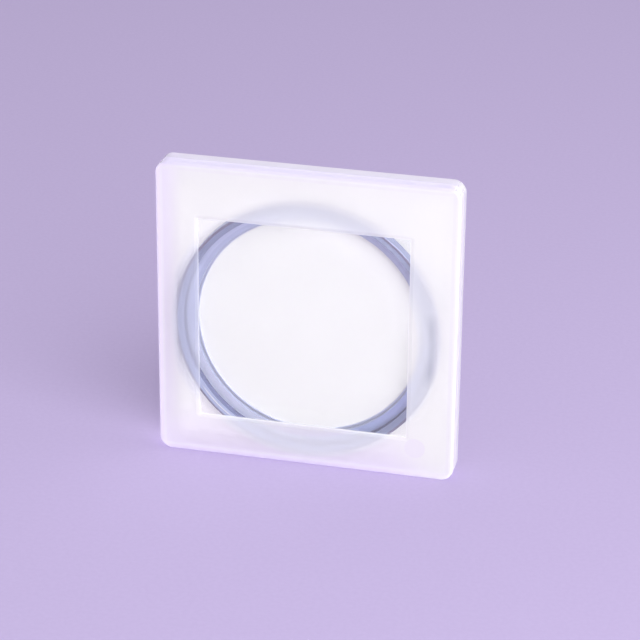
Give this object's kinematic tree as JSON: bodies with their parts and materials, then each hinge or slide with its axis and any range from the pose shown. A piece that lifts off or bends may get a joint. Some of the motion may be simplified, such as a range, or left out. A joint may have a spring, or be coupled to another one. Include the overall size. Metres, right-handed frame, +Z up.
{
  "type": "lens filter in storage case",
  "caption": "Round screw-in lens filter with clear glass and a dark anodised rim, in a square hinged case of frosted plastic with a clear window and a white pad.",
  "frame": {"origin": "middle of the bottom edge that the case stands on", "axes": "+X to the snap side, away from the hinge; +Y from the window to the back of the case; +Z up along the case's height"},
  "size_m": [0.0922, 0.0084, 0.0948],
  "materials": {
    "frosted_plastic": "translucent polypropylene, frosted outside, with a polished window in the lid",
    "white_pad": "fine closed-cell foam, matte white",
    "anodised_rim": "aluminium, satin dark blue-grey anodised",
    "clear_glass": "clear polished and coated"
  },
  "bodies": {
    "base": {"case_base": "frosted_plastic", "living_hinge": "frosted_plastic", "pad": "white_pad"},
    "lid": {"case_lid": "frosted_plastic"},
    "filter": {"filter_rim": "anodised_rim", "filter_glass": "clear_glass", "retaining_ring": "anodised_rim"}
  },
  "joints": [
    {"name": "lid_hinge", "type": "hinge", "parent": "base", "child": "lid", "pos_m": [-0.04585, -0.00103, 0.04738], "axis": [0, 0, -1], "range_deg": [0, 180]},
    {"name": "filter_lift", "type": "slide", "parent": "base", "child": "filter", "axis": [0, -1, 0], "range_m": [0, 0.0121]}
  ],
  "couplings": [
    {"joint": "filter_lift", "follows": "lid_hinge", "m_per_rad": 0.0038197}
  ]
}
